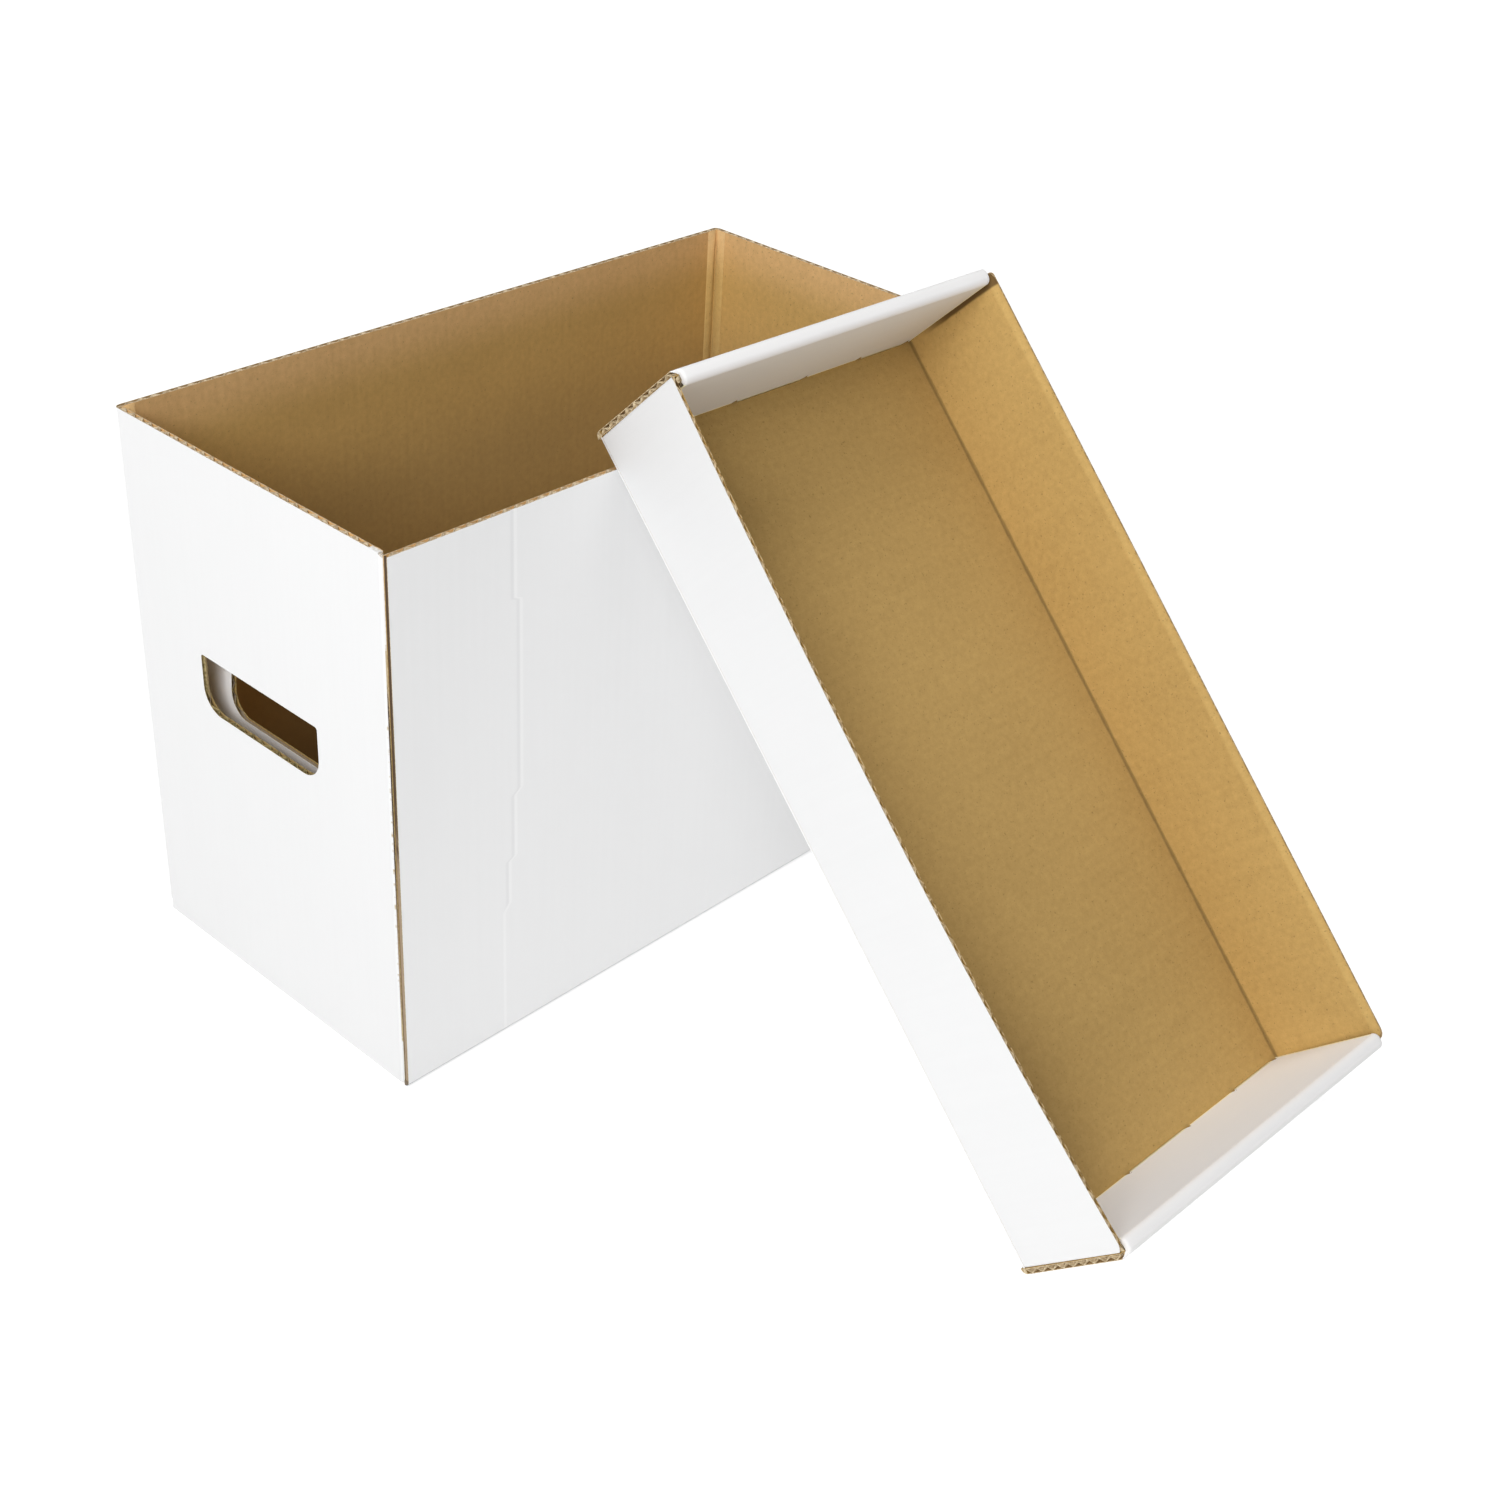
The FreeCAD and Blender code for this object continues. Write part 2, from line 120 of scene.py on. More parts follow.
class Paper:
    """One paper finish: its material, its shader and the coordinates that it is drawn in."""

    def __init__(self, name, across, down, roughness):
        self.material = bpy.data.materials.new(name)
        self.material.use_nodes = True
        self.tree = self.material.node_tree
        self.tree.nodes.clear()
        self.shader = self.tree.nodes.new("ShaderNodeBsdfPrincipled")
        output = self.tree.nodes.new("ShaderNodeOutputMaterial")
        self.tree.links.new(self.shader.outputs["BSDF"], output.inputs["Surface"])
        self.shader.inputs["Roughness"].default_value = roughness
        self.shader.inputs["Specular IOR Level"].default_value = 0.25
        start = Fibre(self.tree)
        self.place = start.node("ShaderNodeTexCoord", out="Object")
        self.normal = start.node("ShaderNodeTexCoord", out="Normal")
        through = Vector(across).cross(Vector(down))
        self.across = self.place.along(across)
        self.down = self.place.along(down)
        self.sheet = start.node("ShaderNodeCombineXYZ", None,
                                {0: self.across, 1: self.down * 0.35, 2: self.place.along(through)})

    def cut_edge(self, cuts):
        """1 on the cut edges that look in any of these directions."""
        mask = self.normal.along(cuts[0]).between(0.6, 0.68)
        for direction in cuts[1:]:
            mask = mask.maths("MAXIMUM", self.normal.along(direction).between(0.6, 0.68))
        return mask

    def raw_edge(self):
        """Colour of torn fibre on a cut edge."""
        return self.place.grain(600.0, 3.0).between(0.35, 0.65).blend(
            (0.40, 0.295, 0.165, 1), (0.70, 0.58, 0.385, 1))

    def wall_edge(self):
        """The same on a wall: duller on the rim, and dark olive in the hand holes below it, as painted
        shade.
        """
        fibre = self.place.grain(700.0, 3.0).between(0.35, 0.65)
        rim = fibre.blend((0.36, 0.26, 0.155, 1), (0.66, 0.545, 0.375, 1))
        hole = fibre.blend((0.20, 0.15, 0.06, 1), (0.46, 0.37, 0.17, 1))
        above_holes = self.place.along(Z).between(0.19, 0.21)
        return above_holes.blend(hole, rim)

    def streaks(self):
        """Long faint streaks down the flutes, between 0 and 1."""
        drawn_out = self.across.node("ShaderNodeCombineXYZ", None, {0: self.across, 1: self.down * 0.02})
        return drawn_out.grain(420.0, 3.0)

    def flute_lines(self, depth):
        """Height of the liner over the flutes: a soft ridge on each flute tip, uneven down its length."""
        drift = self.place.grain(11.0)
        wave = (self.across * (2 * math.pi / flute_pitch) + drift * 3.0).maths("SINE")
        return wave * (drift.between(0.3, 0.75) * depth)

    def finish(self, colour, height):
        self.tree.links.new(colour.socket, self.shader.inputs["Base Color"])
        bump = height.node("ShaderNodeBump", None, {"Height": height, "Distance": 1.0, "Strength": 1.0})
        self.tree.links.new(bump.socket, self.shader.inputs["Normal"])
        return self.material


def toned(colour, tone):
    """A colour for a socket, times a tone that is one number or one for each channel."""
    if not isinstance(tone, tuple):
        tone = (tone,) * 3
    return [c * t for c, t in zip(colour, tone)] + [1]


def white_liner(name, across, down, cuts=(), outwards=None, tone=1, only=None, marks_and_shading=None,
                edge=Paper.raw_edge):
    """Bleached liner: near-white and faintly cloudy outside, brown inside and on its cut edges."""
    paper = Paper(name, across, down, 0.6)
    cloud = paper.sheet.grain(28.0, 3.0)
    tooth = paper.place.grain(1400.0)
    shade = cloud * 0.4 + paper.streaks() * 0.35 + tooth * 0.25
    white = shade.blend(toned((0.836, 0.837, 0.839), tone), toned((0.885, 0.886, 0.887), tone))
    if outwards is not None:
        inside = paper.normal.along(-Vector(outwards)).between(0.5, 0.6)
        white = inside.blend(white, (0.42, 0.29, 0.15, 1))
    if cuts:
        edges = paper.cut_edge(cuts)
        if only is not None:
            edges = edges * only(paper)
        white = edges.blend(white, edge(paper))
    # Extra colour on top, such as the front wall's painted shading and the pale cut line of the lid's inner
    # ends
    if marks_and_shading is not None:
        white = marks_and_shading(paper, white)
    return paper.finish(white, paper.flute_lines(0.000016) + tooth * 0.000005)


def dress(material, *nodes):
    """Gives CAD nodes their finish."""
    for node in nodes:
        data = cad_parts[node].data
        data.materials.clear()
        data.materials.append(material)


def front_painted_shading(paper, colour):
    """Painted crease in steps, a line of painted shade with a painted highlight beside it, and painted
    shade under the foot.
    """
    level = paper.down
    crease = crease_at
    for step_foot, step_top, shift in ((0.070, 0.076, 0.0038), (0.098, 0.101, 0.0036),
                                       (0.133, 0.137, 0.0037), (0.2325, 0.2345, -0.0032)):
        crease = crease + level.between(step_foot, step_top) * shift
    off_crease = paper.across - crease
    # Painted highlight along the crease, with a line of painted shade beside it
    light = 1 - off_crease.maths("ABSOLUTE").between(0.0003, 0.0013)
    dark = 1 - (off_crease + 0.0020).maths("ABSOLUTE").between(0.0003, 0.0014)
    dark = dark * level.between(0.072, 0.076)
    colour = (light * 0.7).blend(colour, (0.84, 0.84, 0.84, 1))
    colour = (dark * 0.7).blend(colour, (0.72, 0.72, 0.725, 1))
    # Painted contact shadow: a thin grey line at the very foot of the wall
    return level.between(0.0012, 0.0022).blend((0.17, 0.17, 0.18, 1), colour)


def hole_or_rim(paper):
    """1 at the hand hole and along the rim, where an end wall really is cut."""
    by_hole = 1 - paper.place.along(Y).maths("ABSOLUTE").between(0.052, 0.056)
    rim = paper.place.along(Z).between(wall_height - 0.0010, wall_height - 0.0004)
    return by_hole.maths("MAXIMUM", rim)


def left_hole_or_rim(paper):
    """The same, but the rim's last few millimetres at the near corner are worn white."""
    return hole_or_rim(paper) * paper.place.along(Y).between(worn_from - 0.0006, worn_from + 0.0002)


dress(white_liner("front wall white", X, Z, (Z, -X), -Y, 0.91, marks_and_shading=front_painted_shading, edge=Paper.wall_edge),
      "front_wall_face")
dress(white_liner("back wall white", X, Z, (Z,), Y), "back_wall_face")
dress(white_liner("left end white", Y, Z, (Y, -Y, Z, -Z), -X, 0.90, only=left_hole_or_rim,
                  edge=Paper.wall_edge), "left_end_wall_face")
dress(white_liner("right end white", Y, Z, (Y, -Y, Z, -Z), X, only=hole_or_rim, edge=Paper.wall_edge),
      "right_end_wall_face")


# Brown lining of the four walls. Unbleached kraft paper with its fibres and specks showing,
# glued to the inner tips of the flutes. All of the box's inside is this paper.
kraft_dark, kraft_light = (0.490, 0.316, 0.108), (0.655, 0.432, 0.154)


def kraft_liner(name, across, down, cuts=(), shade=1.0, edge=Paper.raw_edge, only=None, crease=None,
                wall=False):
    """Kraft paper: yellow-brown with short fibres, soft specks, cloudy patches and faint flute lines; on
    walls, painted light under the rim and painted shade towards the foot.
    """
    paper = Paper(name, across, down, 0.8)
    paper.shader.inputs["Specular IOR Level"].default_value = 0.15
    cloud = paper.place.grain(16.0, 3.0)
    blotch = paper.place.grain(330.0, 3.0)
    fibres = paper.place.grain(1500.0, 2.0, 0.6)
    tone = ((cloud - 0.5) * 0.45 + (blotch - 0.5) * 0.95 + (fibres - 0.5) * 0.65
            + (paper.streaks() - 0.5) * 0.4 + 0.5)
    brown = tone.blend(toned(kraft_dark, shade), toned(kraft_light, shade))
    if wall:
        # Painted light: paler and less yellow just under the rim, where light falls in over it. Painted
        # shade: darker and duller towards the foot, where little light reaches
        level = paper.place.along(Z)
        paler = (1.32 * shade, 1.32 * shade, 1.72 * shade)
        pale = tone.blend(toned(kraft_dark, paler), toned(kraft_light, paler))
        brown = level.between(0.245, wall_height).blend(brown, pale)
        low = (1 - level.between(0.18, 0.24)) * 0.28 + (1 - level.between(0.0, 0.17)) * 0.72
        brown = low.blend(brown, toned((0.165, 0.125, 0.076), shade))
    speck = paper.place.grain(900.0, 1.0).between(0.66, 0.78) * 0.5
    brown = speck.blend(brown, toned((0.22, 0.14, 0.055), shade))
    # Painted shade from the crease mask: the dark pressed lines, the shadowed gaps and the dim corners it
    # marks
    if crease is not None:
        brown = crease(paper).blend(brown, toned((0.17, 0.10, 0.035), shade))
    if cuts:
        edges = paper.cut_edge(cuts)
        if only is not None:
            edges = edges * only(paper)
        brown = edges.blend(brown, edge(paper))
    return paper.finish(brown, paper.flute_lines(0.00003) + fibres * 0.000008)


def left_edge_or_rim(paper):
    """Keeps the cut colour off the inner side of the far corner's bend."""
    below_rim = 1 - paper.place.along(Z).between(wall_height - 0.0005, wall_height - 0.0001)
    return 1 - paper.place.along(X).between(0.15, 0.16) * below_rim


# The back wall's and the end walls' kraft are lighter copies of the front wall's: painted light, for the
# light that falls on their inner sides
dress(kraft_liner("front wall kraft", X, Z, (Z, -X), edge=Paper.wall_edge, only=left_edge_or_rim,
                  wall=True), "front_wall_lining")
dress(kraft_liner("back wall kraft", X, Z, (Z,), shade=1.05, wall=True), "back_wall_lining")
dress(kraft_liner("end wall kraft", Y, Z, (Y, -Y, Z, -Z), shade=1.12, edge=Paper.wall_edge,
                  only=hole_or_rim, wall=True), "left_end_wall_lining", "right_end_wall_lining")


# Beads beside the upright folds. The creasing wheel pushes the lining inwards, so a soft bead of
# paper stands on both sides of each inner corner, with a sharp groove between.
board = 0.0027
wall_inner_x, wall_inner_y = half_length - board, half_width - board
tab_inner_y = wall_inner_y - board
above_bottoms = 0.0062


def show(name, mesh):
    obj = bpy.data.objects.new(name, mesh)
    bpy.context.scene.collection.objects.link(obj)
    return obj


def tidy_normals(mesh):
    """Turns all faces of a closed mesh outwards."""
    shape = bmesh.new()
    shape.from_mesh(mesh)
    bmesh.ops.recalc_face_normals(shape, faces=shape.faces)
    shape.to_mesh(mesh)
    shape.free()


def solid(name, points, faces, material, place=Matrix()):
    """Object made of one closed mesh."""
    mesh = bpy.data.meshes.new(name)
    mesh.from_pydata(points, [], faces)
    mesh.transform(place)
    tidy_normals(mesh)
    mesh.materials.append(material)
    return show(name, mesh)


def bar_faces(count):
    """Faces of a straight bar with this many points at each end."""
    sides = [(k, (k + 1) % count, count + (k + 1) % count, count + k) for k in range(count)]
    return [tuple(range(count))[::-1], tuple(range(count, 2 * count))] + sides


def bead(name, corner, along_wall, inwards, height, material):
    """Low rounded strip of lining on one wall, from beside the corner."""
    start, width, sunk, steps = 0.0005, 0.0060, 0.0001, 10
    profile = [(k / steps, height * math.sin(math.pi * k / steps) ** 0.8) for k in range(1, steps)]
    profile = [(0.0, 0.0)] + profile + [(1.0, 0.0), (1.0, -sunk), (0.0, -sunk)]
    outline = [Vector(corner) + Vector(along_wall) * (start + width * part) + Vector(inwards) * rise
               for part, rise in profile]
    points = [(p.x, p.y, z) for z in (above_bottoms, wall_height - 0.0002) for p in outline]
    obj = solid(name, points, bar_faces(len(outline)), material)
    for face in obj.data.polygons:
        face.use_smooth = len(face.vertices) == 4
    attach(obj, "box")


# The beads' kraft is a darker copy: painted shade, to hold down the light that their rounded tops catch
bead_kraft = kraft_liner("bead kraft", X, Z, shade=0.88, wall=True)
for name, corner_at, along_wall, inwards, height in (
        ("bead_back_right", (wall_inner_x, wall_inner_y), (-1, 0), (0, -1), 0.0006),
        ("bead_right_back", (wall_inner_x, wall_inner_y), (0, -1), (-1, 0), 0.00045),
        ("bead_back_left", (-wall_inner_x, wall_inner_y), (1, 0), (0, -1), 0.0008),
        ("bead_left_back", (-wall_inner_x, wall_inner_y), (0, -1), (1, 0), 0.00045),
        ("bead_front_right", (wall_inner_x, -wall_inner_y), (-1, 0), (0, 1), 0.0008),
        ("bead_right_front", (wall_inner_x, -wall_inner_y), (0, 1), (-1, 0), 0.00045),
        ("bead_left_front", (-wall_inner_x, -tab_inner_y), (0, 1), (1, 0), 0.00045)):
    bead(name, corner_at, along_wall, inwards, height, bead_kraft)


# Fluted medium of the four walls. A sheet of brown paper pressed into waves by toothed rolls and
# glued between the two liners, with its flutes upright. The walls' top rims show its cut waves.
liner, medium_sheet, flute_depth = 0.0003, 0.0003, 0.00178
fold_radius = 0.003
medium_line = board / 2


def medium_paper(name, cuts=(), shade=1.0, edge=Paper.raw_edge):
    """Coarse brown medium, paler on its cut edge."""
    paper = Paper(name, X, Z, 0.85)
    fibres = paper.place.grain(900.0, 2.0)
    brown = fibres.blend(toned((0.20, 0.150, 0.098), shade), toned((0.36, 0.282, 0.195), shade))
    if cuts:
        brown = paper.cut_edge(cuts).blend(brown, edge(paper))
    return paper.finish(brown, fibres * 0.00001)


def corrugator():
    """Geometry Nodes tree that bends a sheet to and fro along a path, as the toothed rolls do."""
    tree = bpy.data.node_groups.new("corrugator", "GeometryNodeTree")
    tree.interface.new_socket("Path", in_out="INPUT", socket_type="NodeSocketGeometry")
    for name, kind in (("Pitches", "Int"), ("Steps", "Int"), ("Depth", "Float"), ("Sheet", "Float"),
                       ("Width", "Float"), ("Sway", "Float"), ("Seed", "Int"), ("Paper", "Material")):
        tree.interface.new_socket(name, in_out="INPUT", socket_type="NodeSocket" + kind)
    tree.interface.new_socket("Medium", in_out="OUTPUT", socket_type="NodeSocketGeometry")
    entry = tree.nodes.new("NodeGroupInput")
    given = {socket.name: Fibre(tree, socket) for socket in entry.outputs if socket.name}
    start = Fibre(tree)
    path = start.node("GeometryNodeMeshToCurve", None, {"Mesh": given["Path"]})
    path = start.node("GeometryNodeResampleCurve", {"mode": "COUNT"},
                      {"Curve": path, "Count": given["Pitches"] * given["Steps"] + 1})
    path = start.node("GeometryNodeSetCurveNormal", {"mode": "Z_UP"}, {"Curve": path})
    reach = start.node("GeometryNodeSplineParameter", out="Factor")
    spot = start.node("GeometryNodeInputPosition")
    sway = start.node("ShaderNodeTexNoise", {"noise_dimensions": "4D"},
                      {"Vector": spot, "W": given["Seed"], "Scale": 60.0, "Detail": 1.0})
    phase = reach * given["Pitches"] * (2 * math.pi) + (sway - 0.5) * given["Sway"]
    wave = phase.maths("COSINE") * given["Depth"] * 0.5
    aside = start.node("GeometryNodeInputNormal")
    offset = aside.node("ShaderNodeVectorMath", {"operation": "SCALE"}, {0: aside, "Scale": wave})
    path = start.node("GeometryNodeSetPosition", None, {"Geometry": path, "Offset": offset})
    profile = start.node("GeometryNodeCurvePrimitiveQuadrilateral", None,
                         {"Width": given["Sheet"], "Height": given["Width"]})
    medium = start.node("GeometryNodeCurveToMesh", None,
                        {"Curve": path, "Profile Curve": profile, "Fill Caps": True})
    medium = start.node("GeometryNodeRealizeInstances", None, {"Geometry": medium})
    medium = start.node("GeometryNodeSetMaterial", None, {"Geometry": medium, "Material": given["Paper"]})
    leave = tree.nodes.new("NodeGroupOutput")
    tree.links.new(medium.socket, leave.inputs["Medium"])
    return tree


corrugating_rolls = corrugator()
medium_inputs = {item.name: item.identifier for item in corrugating_rolls.interface.items_tree
                 if item.in_out == "INPUT"}


def baked(obj):
    """Turns the object's modifiers into its plain mesh."""
    depsgraph = bpy.context.evaluated_depsgraph_get()
    mesh = bpy.data.meshes.new_from_object(obj.evaluated_get(depsgraph), depsgraph=depsgraph)
    obj.modifiers.clear()
    obj.data = mesh
    return obj


def fluting(node, body, path, span, paper, seed, to_world=Matrix(), punch=None, depth=flute_depth,
            ply=medium_sheet):
    """Medium along a path, between two levels, that stands for one CAD node."""
    low, high = span
    mesh = bpy.data.meshes.new(node + "_medium")
    mesh.from_pydata([(x, y, (low + high) / 2) for x, y in path],
                     [(i, i + 1) for i in range(len(path) - 1)], [])
    obj = show(node + "_medium", mesh)
    length = sum((Vector(b) - Vector(a)).length for a, b in zip(path, path[1:]))
    pitches = max(1, round(length / flute_pitch))
    rolls = obj.modifiers.new("corrugating rolls", "NODES")
    rolls.node_group = corrugating_rolls
    for name, value in (("Pitches", pitches), ("Steps", 12), ("Depth", depth), ("Sheet", ply),
                        ("Width", high - low), ("Sway", 0.9), ("Seed", seed), ("Paper", paper)):
        rolls[medium_inputs[name]] = value
    if punch is not None:
        cut = obj.modifiers.new("punch", "BOOLEAN")
        cut.object = punch
        cut.operation = "DIFFERENCE"
        cut.solver = "EXACT"
    baked(obj)
    if punch is not None:
        bpy.data.objects.remove(punch)
    obj.data.transform(to_world)
    tidy_normals(obj.data)
    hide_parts(node)
    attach(obj, body)
    return obj


def arc(centre, radius, first, last, steps):
    """Points along an arc, between two angles in degrees."""
    angles = [math.radians(first + (last - first) * k / steps) for k in range(steps + 1)]
    return [(centre[0] + radius * math.cos(a), centre[1] + radius * math.sin(a)) for a in angles]


def medium_corner(centre, first, last):
    """Path of the medium round a corner fold."""
    return arc(centre, fold_radius - medium_line, first, last, 4)


def hand_hole_punch(x, y_centre):
    """Solid in the shape of a hand hole: round lower corners, nearly sharp upper ones."""
    half, height, sill, low_radius, top_radius, reach = 0.043, 0.029, 0.1423, 0.012, 0.0015, 0.01
    outline = []
    for side, z, radius, first in ((1, sill + height - top_radius, top_radius, 0),
                                   (-1, sill + height - top_radius, top_radius, 90),
                                   (-1, sill + low_radius, low_radius, 180),
                                   (1, sill + low_radius, low_radius, 270)):
        outline += arc((y_centre + side * (half - radius), z), radius, first, first + 90, 6)
    mesh = bpy.data.meshes.new("hand_hole_punch")
    mesh.from_pydata([(end, y, z) for end in (x - reach, x + reach) for y, z in outline], [],
                     bar_faces(len(outline)))
    return show("hand_hole_punch", mesh)


wall_medium = medium_paper("wall medium", (Z, -X), edge=Paper.wall_edge)
corner_x, corner_y = half_length - fold_radius, half_width - fold_radius
line_x, line_y = half_length - medium_line, half_width - medium_line
torn_depth = 0.0012
left_hole_aside = 0.00135
fluting("front_wall_fluting", "box",
        [(torn_depth - half_length, -line_y), (corner_x, -line_y)]
        + medium_corner((corner_x, -corner_y), -90, 0)[1:],
        (fold_radius, wall_height), wall_medium, 1)
fluting("right_end_wall_fluting", "box", [(line_x, -corner_y), (line_x, corner_y)], (0, wall_height),
        wall_medium, 2, punch=hand_hole_punch(half_length, 0))
fluting("back_wall_fluting", "box",
        medium_corner((corner_x, corner_y), 0, 90) + medium_corner((-corner_x, corner_y), 90, 180),
        (board + fold_radius, wall_height), wall_medium, 3)
fluting("left_end_wall_fluting", "box", [(-line_x, corner_y), (-line_x, worn_from)], (0, wall_height),
        wall_medium, 4, punch=hand_hole_punch(-half_length, left_hole_aside))


# Crushed medium in the folds under the front and back walls, where a rotary crease has pressed
# the flutes flat so that the board bends.
def sheet_faces(rows, columns):
    """Faces of a closed sheet whose points come in pairs, one on each side, row by row."""
    wide = 2 * columns
    faces = []
    for i in range(rows - 1):
        for j in range(columns - 1):
            a = i * wide + 2 * j
            faces += [(a, a + 2, a + wide + 2, a + wide), (a + 1, a + wide + 1, a + wide + 3, a + 3)]
        for a in (i * wide, i * wide + wide - 2):
            faces.append((a, a + wide, a + wide + 1, a + 1))
    for i in (0, rows - 1):
        for j in range(columns - 1):
            a = i * wide + 2 * j
            faces.append((a, a + 1, a + 3, a + 2))
    return faces


def crushed_fold(name, x0, x1, centre, outwards, material):
    """Quarter bend along X from the wall's outside down to the bottom."""
    steps = 6
    pairs = []
    for k in range(steps + 1):
        angle = math.pi / 2 * k / steps
        for radius in (fold_radius - liner, fold_radius - board + liner):
            pairs.append((centre[0] + outwards * radius * math.cos(angle),
                          centre[1] - radius * math.sin(angle)))
    obj = solid(name, [(x, y, z) for x in (x0, x1) for y, z in pairs], sheet_faces(2, steps + 1), material)
    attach(obj, "box")


crushed_medium = medium_paper("crushed medium", shade=0.7)
inner_bottom_end = 0.187
crushed_fold("front_bottom_fold", -half_length, corner_x - 0.0005, (-corner_y, fold_radius), -1,
             crushed_medium)
crushed_fold("back_bottom_fold", -inner_bottom_end, inner_bottom_end, (corner_y, board + fold_radius), 1,
             crushed_medium)


# Worn corner of the left end wall's rim, beside the fold into the glue tab. Handling has crushed
# the flutes there between the two liners, and the bruised fibre shows whitish.
def bent_sheet(name, path, thickness, levels, material, place=Matrix()):
    """Closed sheet or board along a path in the plan; levels gives its foot and top at each length."""
    lengths = [0.0]
    for a, b in zip(path, path[1:]):
        lengths.append(lengths[-1] + (Vector(b) - Vector(a)).length)
    points = []
    for i, spot in enumerate(path):
        run = (Vector(path[min(i + 1, len(path) - 1)]) - Vector(path[max(i - 1, 0)])).normalized()
        aside = Vector((-run.y, run.x)) * (thickness / 2)
        for z in levels(lengths[i], lengths[-1]):
            for point in (Vector(spot) + aside, Vector(spot) - aside):
                points.append((point.x, point.y, z))
    return solid(name, points, sheet_faces(len(path), 2), material, place)


def straight(foot, top):
    """Levels of a sheet whose foot and top are level all along."""
    return lambda length, whole: (foot, top)


def worn_fibre():
    """Whitish crushed board."""
    paper = Paper("worn corner", Y, Z, 0.8)
    fibres = paper.place.grain(900.0, 2.0)
    bruised = fibres.between(0.3, 0.7).blend((0.60, 0.55, 0.48, 1), (0.80, 0.79, 0.77, 1))
    return paper.finish(bruised, fibres * 0.00005)


worn = bent_sheet("left_end_worn_corner", [(-line_x, worn_from), (-line_x, fold_radius - wall_inner_y)],
                  board - 2 * liner, straight(fold_radius, wall_height - 0.0001), worn_fibre())
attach(worn, "box")


# Glue tab, the end of the blank. It folds round the near corner, where its face shows as the
# rounded edge of the end wall, and is glued behind the front wall. Its top is cut a little lower.
def fluted_edge(across, through, centre):
    """Cut edge of board drawn on a plain solid: two liners, the medium's wave and the voids painted dark as
    the shade inside them.
    """
    def colour(paper):
        level = paper.place.along(through) - centre
        sway = paper.place.grain(60.0) * 2.0
        wave = (paper.place.along(across) * (2 * math.pi / flute_pitch) + sway).maths("SINE") * 0.0008
        medium = 1 - (level - wave).maths("ABSOLUTE").between(0.00016, 0.0003)
        liners = level.maths("ABSOLUTE").between(0.0009, 0.00105)
        return medium.maths("MAXIMUM", liners).blend((0.045, 0.026, 0.012, 1), paper.raw_edge())
    return colour


def tab_board():
    """White outside up to the torn line near the front wall, then tan torn fibre and a dark band of painted
    shade; brown inside, fluted at its top.
    """
    paper = Paper("glue tab board", X, Z, 0.7)
    fibres = paper.place.grain(1100.0, 2.0, 0.6)
    brown = (fibres - 0.2).blend(toned(kraft_dark, 1), toned(kraft_light, 1))
    outside = paper.normal.along(-X).between(0.05, 0.12).maths(
        "MAXIMUM", paper.normal.along(-Y).between(0.05, 0.12))
    height = paper.place.along(Z)
    ragged = (paper.across.node("ShaderNodeCombineXYZ", None, {2: height}).grain(260.0, 3.0) - 0.5) * 0.22
    middle = height.between(wall_height, 0.19) * height.between(-0.01, 0.06)
    turned = paper.normal.along(-Y) + middle * 0.42 + ragged
    # Painted shade: past a tan band of torn fibre, a dark band where the fold turns towards the front wall,
    # darkest high up
    groove = height.between(0.13, 0.07).blend((0.075, 0.045, 0.025, 1), (0.34, 0.25, 0.16, 1))
    groove = turned.between(0.92, 1.02).blend((0.50, 0.40, 0.24, 1), groove)
    face = turned.between(0.80, 0.84).blend((0.80, 0.802, 0.805, 1), groove)
    colour = outside.blend(brown, face)
    edge = fluted_edge(X, Y, -(tab_inner_y + board / 2))(paper)
    on_tab = paper.place.along(X).between(0.0025 - half_length, 0.0035 - half_length)
    edge = on_tab.blend((0.74, 0.70, 0.64, 1), edge)
    return paper.finish(paper.cut_edge((Z, X)).blend(colour, edge), paper.flute_lines(0.00002))


def tab_levels(length, whole):
    """The fold reaches the floor; the tab's foot and top slope back towards its end."""
    fold_run, fold_drop, foot, foot_rise, top_drop = 0.003, 0.003, 0.0059, 0.012, 0.009
    top = wall_height - 0.0002 - fold_drop * min(1.0, length / fold_run)
    if length <= fold_run:
        return 0.0003, top
    beyond = (length - fold_run) / (whole - fold_run)
    return foot + foot_rise * beyond, top - top_drop * beyond


tab_corner = (fold_radius - half_length, fold_radius - wall_inner_y)
tab_arc = arc(tab_corner, fold_radius - board / 2, 180, 270, 6)
tab_line = tab_arc[-1][1]
tab_path = [(tab_arc[0][0], tab_arc[0][1] + 0.0006)] + tab_arc
tab_path += [(tab_corner[0] + 0.005, tab_line), (tab_corner[0] + 0.035, tab_line)]
tab = bent_sheet("glue_tab_board", tab_path, board - 0.00006, tab_levels, tab_board())
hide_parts("glue_tab")
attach(tab, "box")


# Torn edge of the front wall's medium, between its two liners at the near corner. The knife has
# crushed the last flute there, which leaves a groove with pale fibres; its darkness is painted shade.
def torn_medium():
    """Upright groove, painted dark as the shade in it, turning paler and more ragged towards the floor."""
    paper = Paper("torn medium", Y, Z, 0.9)
    height = paper.place.along(Z)
    threads = height.node("ShaderNodeCombineXYZ", None, {0: paper.across, 1: height * 0.06})
    threads = threads.grain(2200.0, 3.0)
    patches = height.node("ShaderNodeCombineXYZ", None, {2: height}).grain(70.0, 2.0)
    pale = height.between(0.17, 0.09) + (patches - 0.5) * 1.2 + (threads - 0.5) * 1.6
    colour = pale.between(0.1, 0.9).blend((0.085, 0.052, 0.030, 1), (0.36, 0.27, 0.185, 1))
    return paper.finish(colour, threads * 0.0001)


